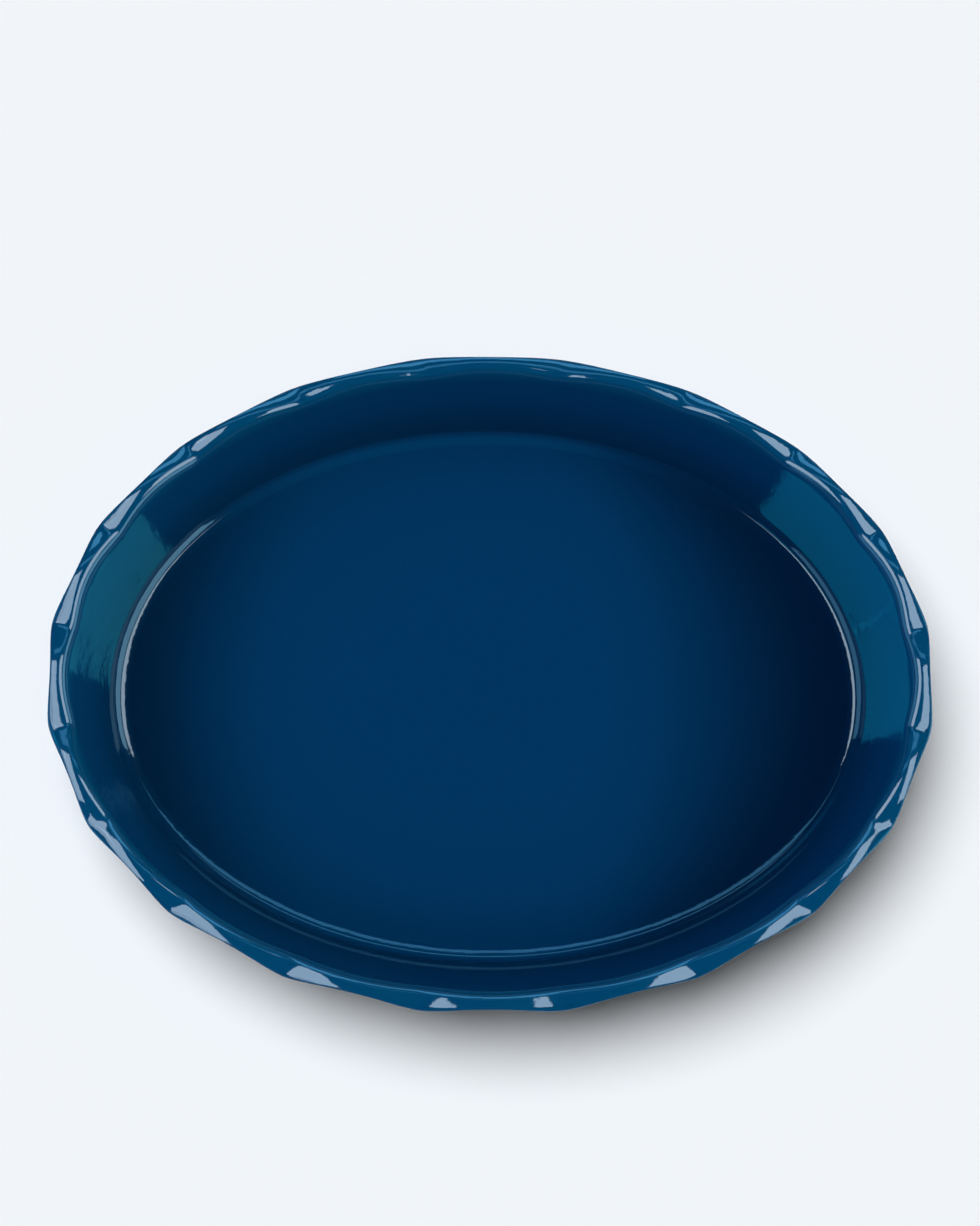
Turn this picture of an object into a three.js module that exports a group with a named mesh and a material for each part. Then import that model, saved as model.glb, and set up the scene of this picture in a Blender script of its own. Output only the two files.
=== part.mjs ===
// Oval stoneware baking dish with a fluted rim.
// Millimetres, +Z up, length along X. The foot ring stands on z = 0, centred on the origin.
//
// The dish is one pressed clay body. A glassy blue coat covers it inside and out, from the
// middle of the floor over the rim and down to the foot ring. The foot ring is wiped bare
// before firing, so the glaze on the underside is a panel of its own inside the ring.

import * as THREE from "three";
import { mergeVertices } from "three/addons/utils/BufferGeometryUtils.js";

const radians = THREE.MathUtils.degToRad;

// Rim: every level of the dish is an oval, at some offset from the rim oval
const RIM_HALF_LENGTH = 187;
const RIM_HALF_WIDTH = 141;
const RIM_HEIGHT = 55;
const MEAN_RADIUS = (RIM_HALF_LENGTH + RIM_HALF_WIDTH) / 2;

// Flutes: the rim is pressed out and down at twenty points, evenly round the oval.
// The wave falls slowly from the middle between two flutes and steeply at the flute,
// where its corner is rounded off.
const FLUTES = 20;
const FLUTE_DIP = 3.2;
const DIP_POWER = 2;
const DIP_ROUND = 0.2;
const FLARE_POWER = 2;
const FLARE_ROUND = 0.3;

// Lip: from its crest it falls outwards over a broad crown and a tight edge, and inwards
// over a dome and a throat. The crown is much broader on a flute than between two flutes.
const LIP_CREST = -5.2;
const LIP_CROWN = 10.3;
const LIP_EDGE = 0.7;
const FLUTE_CREST = -6.4;
const FLUTE_CROWN = 21.3;
const FLUTE_EDGE = 1.6;
const CROWN_TILT = radians(16);
const LIP_DOME = 3.8;
const DOME_TILT = radians(26);
const LIP_THROAT = 4.4;
const LIP_UNDERCUT = 1;
const LIP_DEPTH = 4.2;

// Wall and floor
const WALL_THICKNESS = 6;
const WALL_LEAN = radians(19.1);
const WALL_INSET = 9.7;
const WALL_INSET_HEIGHT = 50;
const FLOOR_TOP = 8.5;
const FLOOR_FILLET = 7.5;
const BASE_FILLET = 8;

// Below the lip the flutes run out into the plain wall
const NECK_HEIGHT = 46.5;
const FLUTE_NECK_HEIGHT = 43;
const FLUTE_NECK = -2.2;
const SHOULDER_HEIGHT = 39.5;
const FLUTE_SHOULDER = -5;
const FLUTE_FADE_HEIGHT = 33;

// Foot ring and glaze
const FOOT_HEIGHT = 2.5;
const FOOT_FACE_WIDTH = 4;
const FOOT_CHAMFER = 0.6;
const FOOT_DRAFT = 0.5;
const GLAZE = 0.5;
const PANEL_MARGIN = 0.6;

// Mesh fineness
const COLUMNS_PER_FLUTE = 6;
const COLUMNS = FLUTES * COLUMNS_PER_FLUTE;
const FILLET_STEPS = 3;
const LIP_TILTS = [-71, -30, 0, 16, 50, 90].map(radians);

// Offset from the rim oval to the inner and the outer face of the plain wall
const innerWall = (z) => -WALL_INSET - (WALL_INSET_HEIGHT - z) * Math.tan(WALL_LEAN);
const outerWall = (z) => innerWall(z) + WALL_THICKNESS / Math.cos(WALL_LEAN);

// One place on the cross-section: offset from the rim oval and height, given twice,
// once for the middle between two flutes and once for the flute itself
const place = (n, z, fluteN = n, fluteZ = z) => ({
  flat: new THREE.Vector2(n, z),
  flute: new THREE.Vector2(fluteN, fluteZ),
});

// Rounded corner between a level face and the leaning wall, from the level face up
function filletPoints(radius, levelZ, wallAt) {
  const centreZ = levelZ + radius;
  const tangentZ = centreZ - radius * Math.sin(WALL_LEAN);
  const centreN = wallAt(tangentZ) - radius * Math.cos(WALL_LEAN);
  const sweep = Math.PI / 2 - WALL_LEAN;
  const points = [];
  for (let step = 0; step <= FILLET_STEPS; step++) {
    const angle = (sweep * step) / FILLET_STEPS;
    const n = centreN + radius * Math.sin(angle);
    points.push(place(n, centreZ - radius * Math.cos(angle)));
  }
  return points;
}

// A spot on the lip by the tilt of its face: away from the crest first broadly, then tightly
function lipSpot(crestN, crestZ, tilt, broad, tight, turn) {
  const bend = Math.min(Math.abs(tilt), turn);
  const n = broad * Math.sin(bend) + tight * (Math.sin(Math.abs(tilt)) - Math.sin(bend));
  const z = broad * (1 - Math.cos(bend)) + tight * (Math.cos(bend) - Math.cos(tilt));
  return new THREE.Vector2(crestN + Math.sign(tilt) * n, crestZ - z);
}

// Places over the lip, tilted inwards below 0 and outwards above
function lipPoint(tilt) {
  const inward = tilt < 0;
  const turn = inward ? DOME_TILT : CROWN_TILT;
  const broad = inward ? LIP_DOME : LIP_CROWN;
  const tight = inward ? LIP_THROAT : LIP_EDGE;
  const fluteBroad = inward ? LIP_DOME : FLUTE_CROWN;
  const fluteTight = inward ? LIP_THROAT : FLUTE_EDGE;
  const fluteHeight = RIM_HEIGHT - FLUTE_DIP;
  return {
    flat: lipSpot(LIP_CREST, RIM_HEIGHT, tilt, broad, tight, turn),
    flute: lipSpot(FLUTE_CREST, fluteHeight, tilt, fluteBroad, fluteTight, turn),
  };
}

const first = (section) => section[0];
const last = (section) => section[section.length - 1];

// Glazed outline of the dish, from the edge of the floor over the rim to the foot ring
const lip = LIP_TILTS.map(lipPoint);
const edge = last(lip);
const glazed = [
  ...filletPoints(FLOOR_FILLET, FLOOR_TOP, innerWall),
  ...lip,
  place(
    edge.flat.x - LIP_UNDERCUT,
    edge.flat.y - LIP_DEPTH,
    edge.flute.x - LIP_UNDERCUT,
    edge.flute.y - LIP_DEPTH,
  ),
  place(outerWall(NECK_HEIGHT), NECK_HEIGHT, FLUTE_NECK, FLUTE_NECK_HEIGHT),
  place(outerWall(SHOULDER_HEIGHT), SHOULDER_HEIGHT, FLUTE_SHOULDER),
  place(outerWall(FLUTE_FADE_HEIGHT), FLUTE_FADE_HEIGHT),
  ...filletPoints(BASE_FILLET, FOOT_HEIGHT, outerWall).reverse(),
];

// The clay surface lies one coat of glaze inside the glazed outline
function underGlaze(section) {
  const inset = (key) => section.map((point, index) => {
    const before = section[Math.max(index - 1, 0)][key];
    const after = section[Math.min(index + 1, section.length - 1)][key];
    const along = after.clone().sub(before);
    if (index === 0 || index === section.length - 1) along.y = 0;
    along.normalize();
    return new THREE.Vector2(point[key].x + GLAZE * along.y, point[key].y - GLAZE * along.x);
  });
  const flat = inset("flat");
  const flute = inset("flute");
  return section.map((point, index) => ({ flat: flat[index], flute: flute[index] }));
}
const clay = underGlaze(glazed);

// Foot ring and underside of the clay, from the end of the glaze to the recessed base
const footEdge = last(clay).flat;
const footOuter = footEdge.x - FOOT_DRAFT;
const footInner = footOuter - 2 * FOOT_CHAMFER - FOOT_FACE_WIDTH;
const foot = [
  place(footEdge.x, footEdge.y),
  place(footOuter, FOOT_CHAMFER),
  place(footOuter - FOOT_CHAMFER, 0),
  place(footInner + FOOT_CHAMFER, 0),
  place(footInner, FOOT_CHAMFER),
  place(footInner - FOOT_DRAFT, footEdge.y),
];
const panelEdge = footInner - FOOT_DRAFT - PANEL_MARGIN;

// The columns gather towards the flutes, where the rim turns fastest
function columnAngle(column) {
  const flute = Math.round(column / COLUMNS_PER_FLUTE);
  const share = (column / COLUMNS_PER_FLUTE - flute) * 2;
  const gathered = Math.sin((share * Math.PI) / 2);
  return ((flute + gathered / 2) * 2 * Math.PI) / FLUTES;
}

// From 0 in the middle between two flutes to 1 on a flute
function pressed(share, power, rounding) {
  const soften = (gap) => Math.hypot(gap, rounding) - rounding;
  return (1 - soften(1 - share) / soften(1)) ** power;
}

// One ring of vertices round the dish for each place on the cross-section
function ringOf(point) {
  const ring = [];
  for (let column = 0; column < COLUMNS; column++) {
    const angle = columnAngle(column);
    const turns = (angle * FLUTES) / (2 * Math.PI);
    const share = Math.abs(turns - Math.round(turns)) * 2;
    const flare = pressed(share, FLARE_POWER, FLARE_ROUND);
    const dip = pressed(share, DIP_POWER, DIP_ROUND);
    const grow = 1 + ((point.flute.x - point.flat.x) * flare) / MEAN_RADIUS;
    ring.push(new THREE.Vector3(
      (RIM_HALF_LENGTH + point.flat.x) * Math.cos(angle) * grow,
      (RIM_HALF_WIDTH + point.flat.x) * Math.sin(angle) * grow,
      THREE.MathUtils.lerp(point.flat.y, point.flute.y, dip),
    ));
  }
  return ring;
}

// Skin between successive rings. A skin faces the side that the clay is not on; a turned
// skin has the same triangles facing the other way.
function skin(section, turned = false) {
  const rings = section.map(ringOf);
  const corners = [];
  const triangle = (a, b, c) => corners.push(a, turned ? c : b, turned ? b : c);
  for (let row = 0; row + 1 < rings.length; row++) {
    for (let column = 0; column < COLUMNS; column++) {
      const next = (column + 1) % COLUMNS;
      triangle(rings[row][column], rings[row + 1][column], rings[row + 1][next]);
      triangle(rings[row][column], rings[row + 1][next], rings[row][next]);
    }
  }
  return corners;
}

// Level disc that closes a ring at its own height, facing up or down
function disc(point, facingUp) {
  const ring = ringOf(point);
  const centre = new THREE.Vector3(0, 0, point.flat.y);
  const corners = [];
  for (let column = 0; column < COLUMNS; column++) {
    const next = (column + 1) % COLUMNS;
    if (facingUp) corners.push(centre, ring[column], ring[next]);
    else corners.push(centre, ring[next], ring[column]);
  }
  return corners;
}

const dish = new THREE.Group();
dish.name = "oval_baking_dish";

function addPiece(name, corners, material) {
  const soup = new THREE.BufferGeometry().setFromPoints(corners);
  const geometry = mergeVertices(soup, 1e-4);
  geometry.computeVertexNormals();
  const mesh = new THREE.Mesh(geometry, material);
  mesh.name = name;
  dish.add(mesh);
}

const stoneware = new THREE.MeshStandardMaterial({ color: 0xc9b79c, roughness: 0.85, metalness: 0 });
stoneware.name = "stoneware";
const blueGlaze = new THREE.MeshStandardMaterial({ color: 0x03406c, roughness: 0.12, metalness: 0 });
blueGlaze.name = "blue_glaze";

// Clay body: floor, wall, fluted lip, foot ring and recessed underside in one pressing
addPiece("stoneware_body", [
  ...disc(first(clay), true),
  ...skin(clay),
  ...skin(foot),
  ...disc(last(foot), false),
], stoneware);

// Main coat: the glazed surface, its edge at the foot ring, and the face that sits on the clay
addPiece("glaze_coat", [
  ...disc(first(glazed), true),
  ...skin(glazed),
  ...skin([last(glazed), last(clay)]),
  ...skin(clay, true),
  ...disc(first(clay), false),
], blueGlaze);

// Glaze panel on the underside, inside the bare foot ring
const panelTop = place(panelEdge, footEdge.y);
const panelBottom = place(panelEdge, footEdge.y - GLAZE);
addPiece("base_glaze", [
  ...disc(panelTop, true),
  ...skin([panelTop, panelBottom]),
  ...disc(panelBottom, false),
], blueGlaze);

export default dish;
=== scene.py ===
# %% [markdown]
# # An oval baking dish with a fluted rim
#
# The dish is one piece of stoneware clay under a layer of deep blue glaze. The glaze is glass,
# so most of what the eye reads is reflection: how sharp each edge of the dish is, and what
# lamps stand round it. This lesson builds the clay and the glaze as separate pieces, gives
# each its finish, and then sets up the studio.
#
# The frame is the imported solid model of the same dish. Every new piece stands for one of its
# solids, in the same place and at the same size. Sizes are written in millimetres.

# %% Load the frame
import math

import bmesh
import bpy
from mathutils import Euler, Matrix, Vector


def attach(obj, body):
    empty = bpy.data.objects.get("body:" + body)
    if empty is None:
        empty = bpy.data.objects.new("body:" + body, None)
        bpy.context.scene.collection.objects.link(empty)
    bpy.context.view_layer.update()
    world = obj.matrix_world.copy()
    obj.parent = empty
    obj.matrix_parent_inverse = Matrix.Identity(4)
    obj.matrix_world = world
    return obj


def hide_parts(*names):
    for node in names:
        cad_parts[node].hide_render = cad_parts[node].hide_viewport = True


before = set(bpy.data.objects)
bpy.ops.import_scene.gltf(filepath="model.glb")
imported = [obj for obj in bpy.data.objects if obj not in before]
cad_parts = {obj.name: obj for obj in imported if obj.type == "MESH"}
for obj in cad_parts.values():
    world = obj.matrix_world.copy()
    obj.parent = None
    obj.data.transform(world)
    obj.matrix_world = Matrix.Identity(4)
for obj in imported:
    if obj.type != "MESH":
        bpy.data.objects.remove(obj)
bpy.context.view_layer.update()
MM = 0.001
print("frame:", sorted(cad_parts))

# %% [markdown]
# ## The shape in numbers
#
# Every level of the dish is an oval. The rim oval runs close to the outermost points of the
# flutes, and every other oval lies some distance inside it, the same distance at the ends
# and at the sides. So a place on the wall needs only two numbers: its offset n from the rim
# oval, and its height z. A cross-section of the dish is a list of such places.
#
# The rim is pressed out and down at twenty points, so the cross-section changes along the rim.
# Each place is written twice: once for the middle between two flutes and once for a flute.

# %% Rim oval and leaning wall
RIM_HALF_LENGTH = 187
RIM_HALF_WIDTH = 141
RIM_HEIGHT = 55
FLOOR_TOP = 8.5
WALL_THICKNESS = 6
WALL_LEAN = math.radians(19.1)
WALL_INSET = 9.7
WALL_INSET_HEIGHT = 50


def inner_wall(z):
    """Offset of the inner wall at one height; below zero lies inside the rim oval."""
    return -WALL_INSET - (WALL_INSET_HEIGHT - z) * math.tan(WALL_LEAN)


def outer_wall(z):
    return inner_wall(z) + WALL_THICKNESS / math.cos(WALL_LEAN)


def place(n, z, flute_n=None, flute_z=None):
    """One place of the cross-section, between two flutes and on a flute."""
    return {
        "flat": (n, z),
        "flute": (n if flute_n is None else flute_n, z if flute_z is None else flute_z),
    }


lean = inner_wall(RIM_HEIGHT) - inner_wall(FLOOR_TOP)
print("the wall leans out by", round(lean, 1), "mm")

# %% [markdown]
# ## The corner of the floor
#
# The floor turns up into the wall through a soft corner. One fillet would give the shape, but
# the corner is covered with glass, and each of its tilts mirrors another part of the studio:
# the larger the radius at a tilt, the broader the bright line there. So the corner is a run of
# bends, each written as its first tilt, its last tilt and its radius.

# %% Floor corner
FLOOR_CORNER = (
    (0, 12, 2),
    (12, 18, 26),
    (18, 23, 4.5),
    (23, 32, 1.2),
    (32, 50, 10),
    (50, 70.9, 2.2),
)
FLOOR_TILTS = (0, 6, 12, 15, 18, 23, 32, 41, 50, 60, 70.9)


def bent(curve, tilt):
    """How far a curve runs along and falls until it has turned to a tilt, bend after bend."""
    along = fall = 0
    for start, end, radius in curve:
        a, b = math.radians(start), math.radians(min(max(tilt, start), end))
        along += radius * (math.sin(b) - math.sin(a))
        fall += radius * (math.cos(a) - math.cos(b))
    return along, fall


def floor_corner(tilts):
    """The floor turns up into the wall."""
    spots = [bent(FLOOR_CORNER, tilt) for tilt in tilts]
    floor_edge = inner_wall(FLOOR_TOP + spots[-1][1]) - spots[-1][0]
    return [place(floor_edge + along, FLOOR_TOP + rise) for along, rise in spots]


corner_places = floor_corner(FLOOR_TILTS)
floor_n = corner_places[0]["flat"][0]
print("the flat floor ends", round(-floor_n, 1), "mm inside the rim")

# %% [markdown]
# ## The lip
#
# The lip is a flattened half-round. Inside its crest lies the throat, which turns down into the
# wall, and outside it the crown, which ends in a small round edge. Both are runs of bends, as
# the corner is, because the long bright lines on the lip are reflections too. Where the dish
# is pressed into a flute, the crown gets broader and lower.

# %% Lip
FLUTE_DIP = 3.2
LIP_CREST = -5.45
FLUTE_CREST = -6.65
LIP_CROWN = ((0, 16, 12), (16, 90, 0.4))
FLUTE_CROWN = ((0, 16, 23.5), (16, 90, 1.1))
LIP_THROAT = ((0, 18, 0.5), (18, 23, 16), (23, 34, 1.5), (34, 71, 4.6))
LIP_TILTS = (-71, -52, -34, -23, -20.5, -18, 0, 5.5, 11, 16, 40, 65, 90)


def lip(tilts):
    """Places over the lip, tilted inwards below 0 and outwards above."""
    places = []
    for tilt in tilts:
        side = math.copysign(1, tilt)
        along, fall = bent(LIP_THROAT if tilt < 0 else LIP_CROWN, abs(tilt))
        flute_along, flute_fall = bent(LIP_THROAT if tilt < 0 else FLUTE_CROWN, abs(tilt))
        places.append(place(
            LIP_CREST + side * along,
            RIM_HEIGHT - fall,
            FLUTE_CREST + side * flute_along,
            RIM_HEIGHT - FLUTE_DIP - flute_fall,
        ))
    return places


lip_places = lip(LIP_TILTS)
(edge_n, edge_z), (flute_edge_n, flute_edge_z) = lip_places[-1]["flat"], lip_places[-1]["flute"]
print("outer edge of the lip:", round(edge_n, 2), "and on a flute:", round(flute_edge_n, 2))

# %% [markdown]
# ## The outside, and the whole outline
#
# Under the lip the outside draws in to a neck and runs on into the leaning wall. A flute stays
# further out there, and fades away down the wall. A plain fillet leads to the foot, where the
# glaze ends. The whole glazed outline starts at the edge of the floor, goes up the wall, over
# the lip and down the outside.

# %% Outline of the glazed dish
INNER_WALL_HEIGHTS = (24, 38)
WALL_TOP = 50
FLUTE_WALL_TOP = 47
UNDER_LIP = ((0.1, 2.2), (1, 4.2))
NECK_HEIGHT = 46.5
FLUTE_NECK_HEIGHT = 43
FLUTE_NECK = -2.2
SHOULDER_HEIGHT = 39.5
FLUTE_SHOULDER = -5
FLUTE_FADE_HEIGHT = 33
OUTER_WALL_HEIGHT = 20
BASE_FILLET = 8
BASE_STEPS = 5
FOOT_HEIGHT = 2.5


def fillet(radius, level, wall_at, steps):
    """Round corner between a level face and the leaning wall, from the level face up."""
    centre_z = level + radius
    centre_n = wall_at(centre_z - radius * math.sin(WALL_LEAN)) - radius * math.cos(WALL_LEAN)
    sweep = math.pi / 2 - WALL_LEAN
    angles = [sweep * step / steps for step in range(steps + 1)]
    return [place(centre_n + radius * math.sin(a), centre_z - radius * math.cos(a)) for a in angles]


glazed = [
    *corner_places,
    *[place(inner_wall(z), z) for z in INNER_WALL_HEIGHTS],
    place(inner_wall(WALL_TOP), WALL_TOP, inner_wall(FLUTE_WALL_TOP), FLUTE_WALL_TOP),
    *lip_places,
    *[
        place(edge_n - inward, edge_z - down, flute_edge_n - inward, flute_edge_z - down)
        for inward, down in UNDER_LIP
    ],
    place(outer_wall(NECK_HEIGHT), NECK_HEIGHT, FLUTE_NECK, FLUTE_NECK_HEIGHT),
    place(outer_wall(SHOULDER_HEIGHT), SHOULDER_HEIGHT, FLUTE_SHOULDER),
    place(outer_wall(FLUTE_FADE_HEIGHT), FLUTE_FADE_HEIGHT),
    place(outer_wall(OUTER_WALL_HEIGHT), OUTER_WALL_HEIGHT),
    *reversed(fillet(BASE_FILLET, FOOT_HEIGHT, outer_wall, BASE_STEPS)),
]
print("places on the glazed outline:", len(glazed))

# %% [markdown]
# ## Columns round the oval
#
# Each piece starts as a circle of points, and each point becomes a column of the bowl. Twelve
# columns belong to one flute. They are turned a little towards the flutes, where the rim bends
# fastest and needs the most faces. A column is known by its phase on the flute, so that the
# same column of all twenty flutes can be moved at once.

# %% Columns
FLUTES = 20
COLUMNS_PER_FLUTE = 12
COLUMNS = FLUTES * COLUMNS_PER_FLUTE
HALF_COLUMNS = COLUMNS_PER_FLUTE // 2
TINY = 1e-6


def flute_phase(column):
    """From -1 to 1 along one flute's stretch of rim: 0 between flutes, -1 and 1 on a flute."""
    turns = column / COLUMNS_PER_FLUTE
    return 2 * (turns - round(turns))


def gathered(phase):
    return math.sin(phase * math.pi / 2)


print("columns:", COLUMNS)

# %% [markdown]
# ## Selecting in edit mode
#
# An operator acts on what is selected, so a few helpers select points by number and tell which
# points are selected now. A new ring comes out of an extrusion in no order that can be relied
# on, so its points are sorted by their direction from the middle.


# %% Selection helpers
def edit_mesh():
    return bmesh.from_edit_mesh(bpy.context.edit_object.data)


def select_only(vertices):
    bpy.ops.mesh.select_all(action="DESELECT")
    mesh = edit_mesh()
    mesh.verts.ensure_lookup_table()
    for index in vertices:
        mesh.verts[index].select_set(True)
    mesh.select_flush(True)
    bmesh.update_edit_mesh(bpy.context.edit_object.data)


def selected():
    return [vertex.index for vertex in edit_mesh().verts if vertex.select]


def columns_in_order(vertices, half_length, half_width):
    mesh = edit_mesh()
    mesh.verts.ensure_lookup_table()

    def around(index):
        x, y, _ = mesh.verts[index].co
        return math.atan2(y / half_width, x / half_length) % (2 * math.pi - TINY)

    return sorted(vertices, key=around)


# %% [markdown]
# ## Rings
#
# Three helpers stand for what the hand does in edit mode. One starts an oval from a round
# circle and squeezes it. One extrudes the selected ring to the next place: extrude, lift, then
# scale to the new oval. One closes an open middle with a fan of faces.

# %% Ring helpers
LEVEL_TOLERANCE = 1e-5


def oval(n):
    return RIM_HALF_LENGTH + n, RIM_HALF_WIDTH + n


def start_ring(name, n, z):
    """A circle with gathered columns, squeezed to an oval; leaves Blender in edit mode."""
    bpy.ops.object.select_all(action="DESELECT")
    bpy.ops.mesh.primitive_circle_add(
        vertices=COLUMNS, radius=1, fill_type="NOTHING", enter_editmode=True
    )
    bpy.context.object.name = bpy.context.object.data.name = name
    bpy.ops.mesh.select_mode(type="VERT")
    ring = columns_in_order(selected(), 1, 1)
    for phase in [step / HALF_COLUMNS for step in range(1 - HALF_COLUMNS, HALF_COLUMNS)]:
        alike = [ring[c] for c in range(COLUMNS) if abs(flute_phase(c) - phase) < TINY]
        select_only(alike)
        turn = (gathered(phase) - phase) * math.pi / FLUTES
        bpy.ops.transform.rotate(value=-turn, orient_axis="Z", center_override=(0, 0, 0))
    select_only(ring)
    half_length, half_width = oval(n)
    size = (half_length * MM, half_width * MM, 1)
    bpy.ops.transform.resize(value=size, center_override=(0, 0, 0))
    bpy.ops.transform.translate(value=(0, 0, z * MM))
    return ring


def extrude_ring(old, new):
    (old_n, old_z), (new_n, new_z) = old["flat"], new["flat"]
    lift = (0, 0, (new_z - old_z) * MM)
    bpy.ops.mesh.extrude_edges_move(TRANSFORM_OT_translate={"value": lift})
    old_oval, new_oval = oval(old_n), oval(new_n)
    size = (new_oval[0] / old_oval[0], new_oval[1] / old_oval[1], 1)
    bpy.ops.transform.resize(value=size, center_override=(0, 0, new_z * MM))
    return columns_in_order(selected(), *new_oval)


def close_middle(level):
    """Closes the open ring at one height with a fan of faces to its middle."""
    bpy.ops.object.mode_set(mode="EDIT")
    bpy.ops.mesh.select_all(action="DESELECT")
    mesh = edit_mesh()
    for edge in mesh.edges:
        on_level = all(abs(end.co.z - level * MM) < LEVEL_TOLERANCE for end in edge.verts)
        edge.select_set(edge.is_boundary and on_level)
    bmesh.update_edit_mesh(bpy.context.edit_object.data)
    bpy.ops.mesh.extrude_edges_move()
    bpy.ops.mesh.merge(type="CENTER")
    bpy.ops.object.mode_set(mode="OBJECT")


# %% [markdown]
# ## Pressing the flutes
#
# Two curves say how the rim moves along one flute. The flare pushes it out in an even wave.
# The dip lowers it: gently at first, then steeply into a narrow valley at the flute itself.
# That valley is what catches the lamps, one side of each flute at a time.

# %% Flute curves and the pressing step
DIP_POWER = 2
DIP_ROUND = 0.2
FLARE_POWER = 2
FLARE_ROUND = 0.3
MEAN_RADIUS = (RIM_HALF_LENGTH + RIM_HALF_WIDTH) / 2


def pressed(share, power, rounding):
    """From 0 between two flutes to 1 on a flute, where the corner of the curve is rounded."""
    def soften(gap):
        return math.hypot(gap, rounding) - rounding

    return (1 - soften(1 - share) / soften(1)) ** power


def press_flutes(rings, section):
    for ring, spot in zip(rings, section):
        (n, z), (flute_n, flute_z) = spot["flat"], spot["flute"]
        if (n, z) == (flute_n, flute_z):
            continue
        for step in range(1, HALF_COLUMNS + 1):
            phase = step / HALF_COLUMNS
            alike = [ring[c] for c in range(COLUMNS) if abs(abs(flute_phase(c)) - phase) < TINY]
            select_only(alike)
            dip = pressed(gathered(phase), DIP_POWER, DIP_ROUND)
            bpy.ops.transform.translate(value=(0, 0, (flute_z - z) * dip * MM))
            flare = pressed(gathered(phase), FLARE_POWER, FLARE_ROUND)
            grow = 1 + (flute_n - n) * flare / MEAN_RADIUS
            bpy.ops.transform.resize(value=(grow, grow, 1), center_override=(0, 0, 0))


print("dip halfway to a flute:", round(pressed(0.5, DIP_POWER, DIP_ROUND), 2))

# %% [markdown]
# ## From a section to a bowl
#
# A section is extruded ring by ring, its flutes are pressed, and a Subdivision Surface rounds
# the cage. The middles stay open until then, because a point where hundreds of edges meet
# makes subdivision very slow. One ring a little inside the corner keeps the floor flat up to
# its edge when the cage is rounded.

# %% Bowl helpers
OPEN_MIDDLE = 20
FLAT_HOLD = 2
SMOOTH_ANGLE = math.radians(50)


def apply_modifier(kind, **settings):
    modifier = bpy.context.object.modifiers.new(kind.lower(), kind)
    for name, value in settings.items():
        setattr(modifier, name, value)
    bpy.ops.object.modifier_apply(modifier=modifier.name)


def with_flat_floor(section, level):
    return [place(floor_n - OPEN_MIDDLE, level), place(floor_n - FLAT_HOLD, level), *section]


def build_bowl(name, section):
    """Extrudes a section, presses its flutes and rounds the cage; the middles are still open."""
    rings = [start_ring(name, *section[0]["flat"])]
    for old, new in zip(section, section[1:]):
        rings.append(extrude_ring(old, new))
    press_flutes(rings, section)
    bpy.ops.mesh.select_all(action="SELECT")
    bpy.ops.mesh.normals_make_consistent(inside=False)
    bpy.ops.object.mode_set(mode="OBJECT")
    apply_modifier("SUBSURF", levels=1, render_levels=1)
    return bpy.context.object


def place_in_frame(piece, node):
    bpy.ops.object.shade_smooth_by_angle(angle=SMOOTH_ANGLE)
    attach(piece, "root")
    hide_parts(node)
    print(piece.name, len(piece.data.polygons), "faces")


# %% [markdown]
# ## The glaze coat
#
# The glaze is a layer of glass, fired onto the clay. It could be a mere colour on the clay, but
# it is a piece of its own here, as on the real dish. The coat is drawn once as the surface
# that the eye sees, and a Solidify modifier then gives it its half millimetre, inwards.

# %% Build the glaze coat
GLAZE = 0.5

coat = build_bowl("blue_glaze_coat", with_flat_floor(glazed, FLOOR_TOP))
close_middle(FLOOR_TOP)
print("faces up:", coat.data.polygons[0].normal.z)
apply_modifier("SOLIDIFY", thickness=GLAZE * MM, offset=-1, use_even_offset=True)
place_in_frame(coat, "glaze_coat")

# %% [markdown]
# ## The outline of the clay
#
# The clay lies one coat of glaze inside the glazed outline. It goes on past the end of the
# glaze, with a foot ring that has softened edges, and a recessed underside. Extra rings close
# to each edge hold it in place when the cage is rounded.

# %% Clay outline
FOOT_FACE_WIDTH = 4
FOOT_CHAMFER = 0.6
FOOT_SOFTENING = 0.3 * FOOT_CHAMFER
FOOT_DRAFT = 0.5
FOOT_FACE_HOLD = 0.4
ROOT_INWARD, ROOT_DOWN = 0.1, 0.3
UNDERSIDE_HOLD = 1


def under_glaze(section):
    """Every place moved into the clay by the thickness of the glaze, square to the outline."""
    moved = []
    for index, spot in enumerate(section):
        before, after = section[max(index - 1, 0)], section[min(index + 1, len(section) - 1)]
        new = {}
        for key in ("flat", "flute"):
            along = Vector(after[key]) - Vector(before[key])
            if index in (0, len(section) - 1):
                along.y = 0
            along.normalize()
            new[key] = (spot[key][0] + GLAZE * along.y, spot[key][1] - GLAZE * along.x)
        moved.append(new)
    return moved


clay = under_glaze(glazed)
foot_edge, underside = clay[-1]["flat"]
foot_outer = foot_edge - FOOT_DRAFT
foot_inner = foot_outer - 2 * FOOT_CHAMFER - FOOT_FACE_WIDTH
foot = [
    place(foot_edge - ROOT_INWARD, underside - ROOT_DOWN),
    place(foot_outer, FOOT_CHAMFER),
    place(foot_outer - FOOT_SOFTENING, FOOT_SOFTENING),
    place(foot_outer - FOOT_CHAMFER, 0),
    place(foot_outer - FOOT_CHAMFER - FOOT_FACE_HOLD, 0),
    place(foot_inner + FOOT_CHAMFER + FOOT_FACE_HOLD, 0),
    place(foot_inner + FOOT_CHAMFER, 0),
    place(foot_inner + FOOT_SOFTENING, FOOT_SOFTENING),
    place(foot_inner, FOOT_CHAMFER),
    place(foot_inner - FOOT_DRAFT + ROOT_INWARD, underside - ROOT_DOWN),
    place(foot_inner - FOOT_DRAFT, underside),
    place(foot_inner - FOOT_DRAFT - UNDERSIDE_HOLD, underside),
    place(foot_inner - OPEN_MIDDLE, underside),
]
print("the underside lies", round(underside, 2), "mm above the foot")

# %% [markdown]
# ## The clay body
#
# Floor, wall, lip and foot of a pressed dish are one piece of clay, so they are one piece here.
# It is built as the coat is, and has two middles to close: the floor and the underside.

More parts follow.
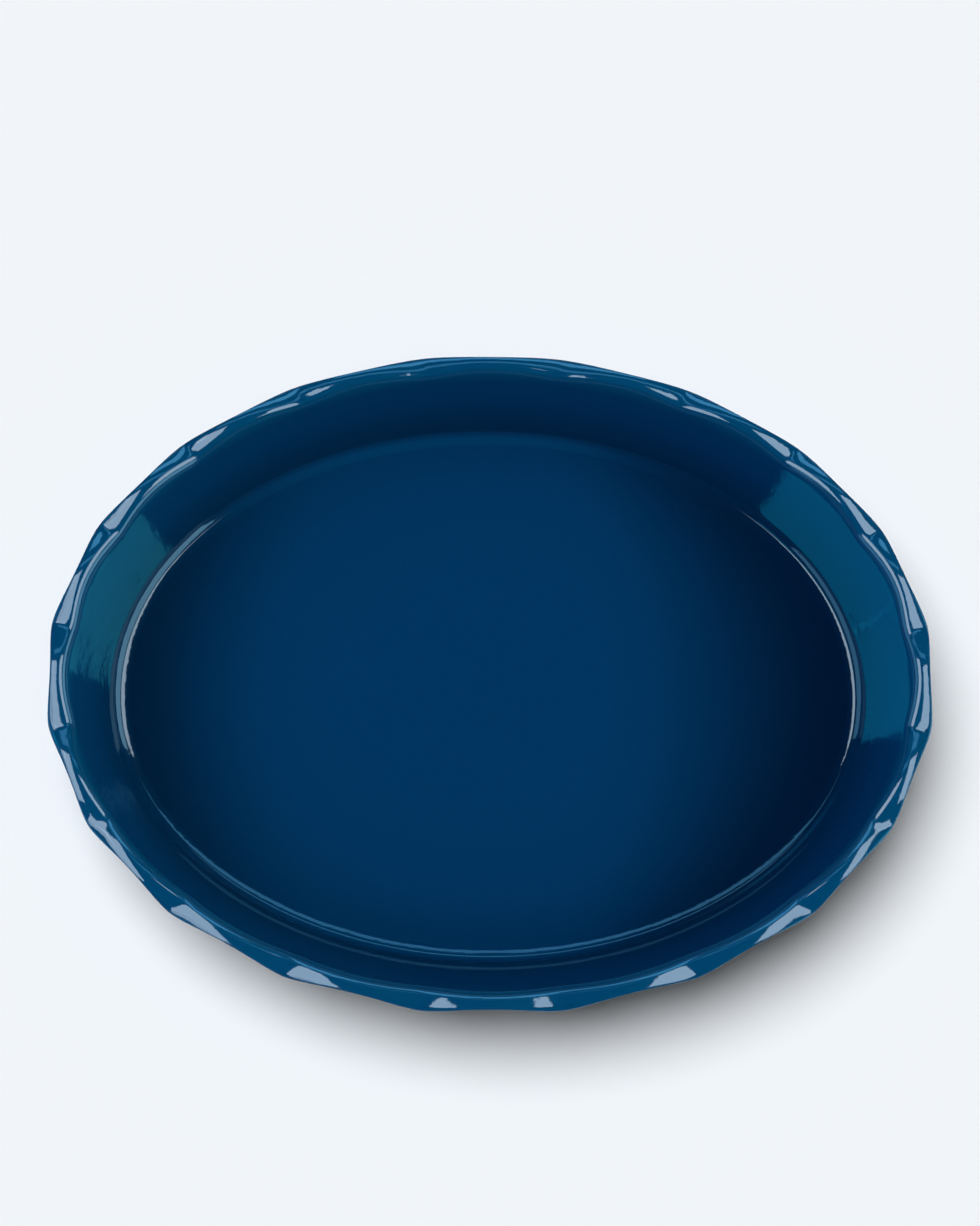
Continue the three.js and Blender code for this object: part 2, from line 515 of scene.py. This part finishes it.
# %% Build the clay body
clay_floor = clay[0]["flat"][1]
body = build_bowl("stoneware_clay", with_flat_floor([*clay, *foot], clay_floor))
close_middle(clay_floor)
close_middle(underside)
place_in_frame(body, "stoneware_body")

# %% [markdown]
# ## The glaze panel underneath
#
# The foot ring is wiped bare, so the glaze inside it is a shallow panel of its own. Its edge
# is round, as glaze draws back from bare clay when it melts. The outline of the panel is
# written as steps inwards from its edge and down from the clay.

# %% Build the base panel
PANEL_MARGIN = 0.6
PANEL_OUTLINE = (
    (OPEN_MIDDLE, 0),
    (0.3, 0),
    (0, 0.12),
    (0.15, 0.4),
    (0.6, GLAZE),
    (2, GLAZE),
    (OPEN_MIDDLE, GLAZE),
)

panel_edge = foot_inner - FOOT_DRAFT - PANEL_MARGIN
panel_section = [place(panel_edge - inward, underside - down) for inward, down in PANEL_OUTLINE]
panel = build_bowl("blue_glaze_panel", panel_section)
close_middle(underside)
close_middle(underside - GLAZE)
place_in_frame(panel, "base_glaze")

# %% [markdown]
# ## A short hand for shader nodes
#
# Node trees are easier to read as sums. A Shade wraps one output socket, and arithmetic on it
# adds Math nodes. Every node comes from one function, which sets the node up and then fills in
# its sockets.


# %% Shader arithmetic
class Shade:
    """One output socket of a node tree."""

    def __init__(self, tree, socket):
        self.tree, self.socket = tree, socket

    def math(self, operation, first, second):
        settings = {"operation": operation}
        return add_node(self.tree, "ShaderNodeMath", settings, {0: first, 1: second})

    def __add__(self, other):
        return self.math("ADD", self, other)

    def __sub__(self, other):
        return self.math("SUBTRACT", self, other)

    def __rsub__(self, other):
        return self.math("SUBTRACT", other, self)

    def __mul__(self, other):
        return self.math("MULTIPLY", self, other)

    def __truediv__(self, other):
        return self.math("DIVIDE", self, other)

    def __pow__(self, other):
        return self.math("POWER", self, other)

    def __abs__(self):
        return self.math("ABSOLUTE", self, 0.0)

    __radd__ = __add__
    __rmul__ = __mul__


def add_node(tree, kind, settings=None, inputs=None, output=0):
    node = tree.nodes.new(kind)
    for name, value in (settings or {}).items():
        setattr(node, name, value)
    for key, value in (inputs or {}).items():
        if isinstance(value, Shade):
            tree.links.new(value.socket, node.inputs[key])
        else:
            node.inputs[key].default_value = value
    return Shade(tree, node.outputs[output]) if node.outputs else None


# %% [markdown]
# ## Nodes that every finish uses
#
# A finish needs noise on the piece's own coordinates, so that the pattern stays on the piece
# when it moves. It needs soft steps, up and down, to say where a colour starts and ends, and
# a way to mix two colours.

# %% Shader helpers
OBJECT_COORDINATES = 3
MIX_FACTOR, MIX_FIRST, MIX_SECOND, MIX_RESULT = 0, 6, 7, 2


def new_material(name):
    material = bpy.data.materials.new(name)
    material.use_nodes = True
    material.node_tree.nodes.clear()
    return material


def noise(tree, scale, detail=2.0, roughness=0.5):
    spot = add_node(tree, "ShaderNodeTexCoord", output=OBJECT_COORDINATES)
    values = {"Vector": spot, "Scale": scale, "Detail": detail, "Roughness": roughness}
    return add_node(tree, "ShaderNodeTexNoise", {}, values)


def mix_colour(tree, factor, first, second):
    values = {MIX_FACTOR: factor, MIX_FIRST: first, MIX_SECOND: second}
    return add_node(tree, "ShaderNodeMix", {"data_type": "RGBA"}, values, MIX_RESULT)


def step_up(tree, value, low, high):
    settings = {"interpolation_type": "SMOOTHSTEP"}
    values = {"Value": value, "From Min": low, "From Max": high}
    return add_node(tree, "ShaderNodeMapRange", settings, values)


def step_down(tree, value, low, high):
    return step_up(tree, 0.0 - value, -high, -low)


def bump(tree, strength, depth, height):
    values = {"Strength": strength, "Distance": depth, "Height": height}
    return add_node(tree, "ShaderNodeBump", {}, values)


def finish_with(material, inputs):
    tree = material.node_tree
    shader = add_node(tree, "ShaderNodeBsdfPrincipled", {}, inputs)
    add_node(tree, "ShaderNodeOutputMaterial", {}, {"Surface": shader})
    print(material.name, len(tree.nodes), "nodes")


# %% [markdown]
# ## The blue of the glaze
#
# The glaze is coloured glass over pale clay, so its colour follows its thickness. It is lighter
# on the lip, where it runs thin, and that lighter blue is partly painted light on the faces
# that turn up to the lamps. A lighter band at the edge of the floor is a painted highlight.
# The colour is darker low on the wall, which is painted shade, and darkest at the two ends of
# the floor, which is painted shade too. Each of these places is a soft step over the height or
# the length, measured in metres.

# %% Glaze colour
DEEP_BLUE = (0.0006, 0.0400, 0.127, 1)
# Painted shade colour for the low wall.
LOW_WALL_SHADE_BLUE = (0.0004, 0.0215, 0.066, 1)
# Painted shade colour for the two ends of the floor.
END_SHADE_BLUE = (0.0003, 0.018, 0.060, 1)
# Lighter blue: thin glaze and partly painted light on the lip, a painted highlight at the floor's
# edge.
THIN_GLAZE_AND_PAINTED_LIGHT_BLUE = (0.0006, 0.064, 0.160, 1)
# Where the painted shade at the ends of the floor lies, and how far it reaches.
END_SHADE_MIDDLE = -0.020
END_SHADE_REACH = (0.052, 0.127)
END_SHADE_TOP = (0.009, 0.016)
END_SHADE_BLUNTNESS = 1.6
FLOOR_HALF_WIDTH = 0.118
LIP_START = (0.046, 0.053)
LOW_WALL_START, LOW_WALL_END, LOW_WALL_SHADE_SHARE = (0.0095, 0.0125), (0.012, 0.045), 0.8
# Painted highlight: where the lighter band at the edge of the floor lies, and how strong it is.
FLOOR_EDGE_START, FLOOR_EDGE_END, FLOOR_EDGE_HIGHLIGHT_SHARE = (0.00852, 0.0089), (0.0095, 0.0105), 0.35

glaze = new_material("blue_glaze")
tree = glaze.node_tree
spot = add_node(tree, "ShaderNodeTexCoord", output=OBJECT_COORDINATES)
along, across, height = [
    add_node(tree, "ShaderNodeSeparateXYZ", {}, {0: spot}, axis) for axis in range(3)
]
# Painted shade: the colour darkens towards the two ends of the floor.
row_length = (END_SHADE_BLUNTNESS - (across / FLOOR_HALF_WIDTH) ** 2.0) ** 0.5
to_end = abs(along - END_SHADE_MIDDLE) / row_length
painted_end_shade = step_up(tree, to_end, *END_SHADE_REACH) * step_down(tree, height, *END_SHADE_TOP)
# Lighter on the lip: thinner glaze there, and partly painted light on the faces that turn up to the
# lamps.
on_lip = step_up(tree, height, *LIP_START)
# Painted shade: the colour darkens low on the wall, towards the floor.
low_wall_shade = step_down(tree, height, *LOW_WALL_END) * step_up(tree, height, *LOW_WALL_START)
# Painted highlight: a lighter band along the edge of the floor.
floor_edge = step_up(tree, height, *FLOOR_EDGE_START) * step_down(tree, height, *FLOOR_EDGE_END)
blue = mix_colour(tree, on_lip, DEEP_BLUE, THIN_GLAZE_AND_PAINTED_LIGHT_BLUE)
blue = mix_colour(tree, low_wall_shade * LOW_WALL_SHADE_SHARE, blue, LOW_WALL_SHADE_BLUE)
blue = mix_colour(tree, floor_edge * FLOOR_EDGE_HIGHLIGHT_SHARE, blue, THIN_GLAZE_AND_PAINTED_LIGHT_BLUE)
blue = mix_colour(tree, painted_end_shade, blue, END_SHADE_BLUE)
print("glaze colour:", len(tree.nodes), "nodes")

# %% [markdown]
# ## The skin of the glaze
#
# Melted glass isn't flat like a window. It has a slow ripple and a finer skin like orange peel,
# and both make the reflections waver. They are far too small to model, so they are a bump.
# The gloss is a little duller in clouds.

# %% Glaze finish
RIPPLE_SCALE, PEEL_SCALE, CLOUD_SCALE = 45, 350, 14
RIPPLE_STRENGTH, RIPPLE_DEPTH = 1.0, 0.00015
PEEL_SHARE = 0.2
CLOUD_EDGE = (0.3, 0.7)
GLAZE_ROUGHNESS, CLOUD_ROUGHNESS = 0.04, 0.02
GLASS_IOR = 1.55
BLUISH_GLOSS = (0.7, 0.85, 1.0, 1)

clouds = step_up(tree, noise(tree, CLOUD_SCALE, detail=3), *CLOUD_EDGE)
skin = noise(tree, RIPPLE_SCALE) + noise(tree, PEEL_SCALE) * PEEL_SHARE
finish_with(glaze, {
    "Base Color": blue,
    "Roughness": GLAZE_ROUGHNESS + clouds * CLOUD_ROUGHNESS,
    "IOR": GLASS_IOR,
    "Specular Tint": BLUISH_GLOSS,
    "Normal": bump(tree, RIPPLE_STRENGTH, RIPPLE_DEPTH, skin),
})
for piece in (coat, panel):
    piece.data.materials.append(glaze)

# %% [markdown]
# ## The bare clay
#
# Fired stoneware is warm and matt, with fine dark specks of iron and a sandy grain. Only the
# foot ring shows it. The specks are the peaks of a fine noise, cut off by a narrow step.

# %% Clay finish
PALE_CLAY = (0.62, 0.50, 0.36, 1)
WARM_CLAY = (0.50, 0.37, 0.24, 1)
IRON_SPECK = (0.16, 0.09, 0.05, 1)
PATCH_SCALE, PATCH_EDGE = 40, (0.35, 0.65)
SPECK_SCALE, SPECK_EDGE, SPECK_SHARE = 900, (0.68, 0.74), 0.8
GRAIN_SCALE, GRAIN_STRENGTH, GRAIN_DEPTH = 1600, 0.6, 0.0001
CLAY_ROUGHNESS, GRAIN_ROUGHNESS = 0.78, 0.15

bare_clay = new_material("bare_stoneware")
tree = bare_clay.node_tree
patches = step_up(tree, noise(tree, PATCH_SCALE, detail=4), *PATCH_EDGE)
specks = step_up(tree, noise(tree, SPECK_SCALE, detail=1), *SPECK_EDGE)
grain = noise(tree, GRAIN_SCALE, detail=3, roughness=0.7)
earth = mix_colour(tree, patches, PALE_CLAY, WARM_CLAY)
finish_with(bare_clay, {
    "Base Color": mix_colour(tree, specks * SPECK_SHARE, earth, IRON_SPECK),
    "Roughness": CLAY_ROUGHNESS + grain * GRAIN_ROUGHNESS,
    "Normal": bump(tree, GRAIN_STRENGTH, GRAIN_DEPTH, grain),
})
body.data.materials.append(bare_clay)

# %% [markdown]
# ## The camera
#
# The camera looks down steeply from the front, and stands a little to the left. Its angle and
# distance follow from the shape of the rim in the photograph: how much the oval is squashed,
# and how much larger its near side is than its far side. The middle of the rim lies below the
# middle of the picture, so the camera is tipped up by that much.

# %% Camera
IMAGE_SIZE = (980, 1226)
FOCAL_PIXELS = 2300
PIXELS_PER_MM = 2.3717
VIEW_ELEVATION = math.radians(80)
RIM_PLANE = 50.4
RIM_CENTRE_BELOW = 62.4
CAMERA_ASIDE = -26
CAMERA_AIM = -0.5
FAR_CLIP = 50

camera_data = bpy.data.cameras.new("photo_camera")
camera = bpy.data.objects.new("photo_camera", camera_data)
bpy.context.scene.collection.objects.link(camera)
bpy.context.scene.camera = camera
camera_data.lens = camera_data.sensor_width * FOCAL_PIXELS / max(IMAGE_SIZE)
camera_data.clip_end = FAR_CLIP
below_axis = math.atan(RIM_CENTRE_BELOW / FOCAL_PIXELS)
reach = FOCAL_PIXELS / PIXELS_PER_MM / math.cos(below_axis) * MM
rim_centre = Vector((CAMERA_AIM * MM, 0, RIM_PLANE * MM))
towards_camera = Vector((0, -math.cos(VIEW_ELEVATION), math.sin(VIEW_ELEVATION)))
camera.location = rim_centre + reach * towards_camera + Vector((CAMERA_ASIDE * MM, 0, 0))
turn_back = math.atan2(CAMERA_ASIDE * MM, reach)
camera.rotation_euler = (math.pi / 2 - (VIEW_ELEVATION - below_axis), turn_back, 0)
print("camera", [round(c, 3) for c in camera.location])

# %% [markdown]
# ## The floor of the studio
#
# The dish stands on a plain pale floor without gloss, so that the only thing on it is the
# shadow of the dish.

# %% Floor
PALE_FLOOR = (0.88, 0.91, 0.945, 1)
FLOOR_ROUGHNESS = 0.9
FLOOR_SIZE = 20

bpy.context.scene.view_settings.view_transform = "Standard"
bpy.ops.mesh.primitive_plane_add(size=FLOOR_SIZE)
floor = bpy.context.object
floor.name = "pale_floor"
backdrop = new_material("pale_backdrop")
finish_with(backdrop, {
    "Base Color": PALE_FLOOR,
    "Roughness": FLOOR_ROUGHNESS,
    "Specular IOR Level": 0.0,
})
floor.data.materials.append(backdrop)

# %% [markdown]
# ## A soft box
#
# Glass shows a lamp as a patch with the lamp's own outline. So each lamp is a far rectangle,
# placed by the angles that it fills as seen from the dish: an azimuth, a lowest and a highest
# elevation, and a width. Its strength is given as radiance, so that a larger lamp isn't a
# brighter one.
#
# Mirrored lamps are seen in the glaze and light nothing else, and the others light matt
# surfaces and aren't seen. That keeps the drawing of the highlights apart from the level of
# light. A lamp can also be dimmed where only one mirror shows it. The strips are made to be
# seen in the wall by way of the floor of the dish, through two mirrors, and would glare in
# one. The depth of the ray, which grows with every mirror, tells the two apart.

# %% Soft boxes
LAMP_REACH = 4
BETWEEN_ONE_AND_TWO_MIRRORS = (2.4, 2.6)


def light_group(name, pieces):
    group = bpy.data.collections.new(name)
    for piece in pieces:
        group.objects.link(piece)
    return group


def dim_in_one_mirror(data, share):
    data.use_nodes = True
    tree = data.node_tree
    tree.nodes.clear()
    depth = add_node(tree, "ShaderNodeLightPath", output="Ray Depth")
    strength = share + step_up(tree, depth, *BETWEEN_ONE_AND_TWO_MIRRORS) * (1 - share)
    glow = add_node(tree, "ShaderNodeEmission", {}, {"Strength": strength})
    add_node(tree, "ShaderNodeOutputLight", {}, {"Surface": glow})


def soft_box(name, azimuth, low, high, wide, colour, radiance, roll=0, mirrored=True, lit=None):
    """A rectangular lamp that faces the dish, between two elevations, with angles in degrees."""
    elevation = (low + high) / 2
    data = bpy.data.lights.new(name, "AREA")
    data.shape = "RECTANGLE"
    data.size = 2 * LAMP_REACH * math.tan(math.radians(wide / 2))
    data.size_y = 2 * LAMP_REACH * math.tan(math.radians((high - low) / 2))
    data.color = colour
    data.energy = radiance * math.pi * data.size * data.size_y
    lamp = bpy.data.objects.new(name, data)
    bpy.context.scene.collection.objects.link(lamp)
    facing = Euler((math.radians(90 - elevation), 0, math.radians(azimuth + 90))).to_matrix()
    lamp.rotation_euler = (facing @ Matrix.Rotation(math.radians(roll), 3, "Z")).to_euler()
    lamp.location = facing @ Vector((0, 0, LAMP_REACH))
    lamp.visible_glossy = mirrored
    lamp.visible_diffuse = not mirrored
    lamp.visible_camera = False
    lamp.light_linking.receiver_collection = lit or dish_group
    return data


dish_group = light_group("lit_by_soft_boxes", [coat, body, panel])
floor_group = light_group("lit_by_key", [floor])

# %% [markdown]
# ## The lamps that the glaze mirrors
#
# Two soft boxes stand left and right of the dish and draw the bright patches and lines on its
# edges. A strip under each is what turns the opposite wall teal, by way of the floor of the
# dish. The left box and both strips have two parts, so that their edges can bend. The skirts
# below give the corner of the floor its second, softer line. Three panels at the back draw the
# fine lines along the front.

# %% Mirrored lamps
PALE = (0.92, 1, 1.02)
RIGHT_TEAL = (0.10, 0.90, 1)
LEFT_TEAL = (0.02, 0.67, 1)
GREY_BLUE = (0.47, 0.85, 1)
SKY_BLUE = (0.3, 0.8, 1.1)
COOL = (0.2, 0.66, 1)
IN_ONE_MIRROR = 0.2

soft_box("right_box", -2.2, 53, 68.7, 40, PALE, 7, roll=5)
right_strip = soft_box("right_strip", -5, 38.5, 43.7, 27, RIGHT_TEAL, 12, roll=4.8)
right_end = soft_box("right_strip_end", -27.9, 37.5, 42, 8, RIGHT_TEAL, 12, roll=2.5)
soft_box("right_skirt", -8, 4, 33, 70, GREY_BLUE, 4)
soft_box("left_box", 184, 58, 71, 43, PALE, 7)
soft_box("left_box_low", 184, 52, 58, 43, PALE, 6.2, roll=-3)
left_strip = soft_box("left_strip", 209.5, 34.3, 40.9, 33, LEFT_TEAL, 12.8, roll=-3)
left_end = soft_box("left_strip_end", 169.4, 38.2, 43.8, 30.6, LEFT_TEAL, 12.8, roll=-9)
soft_box("left_skirt", 187, 4, 28, 62, SKY_BLUE, 2.2)
soft_box("back_panel_high", 90, 57.5, 62, 56, COOL, 2.9)
soft_box("back_panel_low", 90, 40.5, 48.3, 41, COOL, 5)
soft_box("back_strip", 90, 25, 33, 62, COOL, 2.5)
for strip in (right_strip, right_end, left_strip, left_end):
    dim_in_one_mirror(strip, IN_ONE_MIRROR)
print("mirrored lamps:", len(bpy.data.lights))

# %% [markdown]
# ## The lamps that light the dish and the floor
#
# Four fills round the dish bring its colour up to a plain level, mostly from the sides. The
# floor has lamps of its own: a wide key from the back left, which gives the dish its soft
# shadow, and a weak warm light from above that fills the shadow.

# %% Fills and key
NEUTRAL = (1, 1, 1)
TEAL_WHITE = (1, 1.02, 0.96)
BLUE_WHITE = (1, 0.92, 1.12)
WARM = (1, 0.85, 0.5)
FILL_SPAN = (24, 52, 70)
KEY_COLOUR = (0.909, 0.926, 0.959)
KEY_STRENGTH = 3.31
KEY_WIDTH = math.radians(41)
KEY_DIRECTION = Vector((-0.27, 0.265, 1))

soft_box("right_fill", -4, *FILL_SPAN, TEAL_WHITE, 4.6, mirrored=False)
soft_box("left_fill", 184, *FILL_SPAN, BLUE_WHITE, 3.6, mirrored=False)
soft_box("back_fill", 90, *FILL_SPAN, NEUTRAL, 0.3, mirrored=False)
soft_box("front_fill", -90, *FILL_SPAN, NEUTRAL, 0.4, mirrored=False)
soft_box("floor_fill", 0, 35, 145, 110, WARM, 0.15, mirrored=False, lit=floor_group)
key_data = bpy.data.lights.new("wide_key", "SUN")
key_data.energy = KEY_STRENGTH
key_data.color = KEY_COLOUR
key_data.angle = KEY_WIDTH
key = bpy.data.objects.new("wide_key", key_data)
bpy.context.scene.collection.objects.link(key)
key.rotation_euler = KEY_DIRECTION.to_track_quat("Z", "Y").to_euler()
key.light_linking.receiver_collection = floor_group
print("all lamps:", len(bpy.data.lights))

# %% [markdown]
# ## The world
#
# The world is a pale sweep of backdrop that ends in a dark ceiling, so the floor of the dish
# has nothing bright to mirror. It is only there to be seen and mirrored: matt faces get all
# their light from the lamps, so the world is black for their rays.

# %% World
SWEEP = (0.9, 0.88, 0.86, 1)
CEILING = (0.004, 0.02, 0.03, 1)
CEILING_START = (-0.02, 0.12)
UPWARDS = 2

world = bpy.data.worlds.new("pale_sweep")
bpy.context.scene.world = world
world.use_nodes = True
tree = world.node_tree
tree.nodes.clear()
direction = add_node(tree, "ShaderNodeTexCoord", output=0)
height = add_node(tree, "ShaderNodeSeparateXYZ", {}, {0: direction}, UPWARDS)
sky = mix_colour(tree, step_up(tree, height, *CEILING_START), SWEEP, CEILING)
lights_matt_faces = add_node(tree, "ShaderNodeLightPath", output="Is Diffuse Ray")
seen = {"Color": sky, "Strength": 1.0 - lights_matt_faces}
background = add_node(tree, "ShaderNodeBackground", {}, seen)
add_node(tree, "ShaderNodeOutputWorld", {}, {"Surface": background})
print("world:", len(tree.nodes), "nodes")
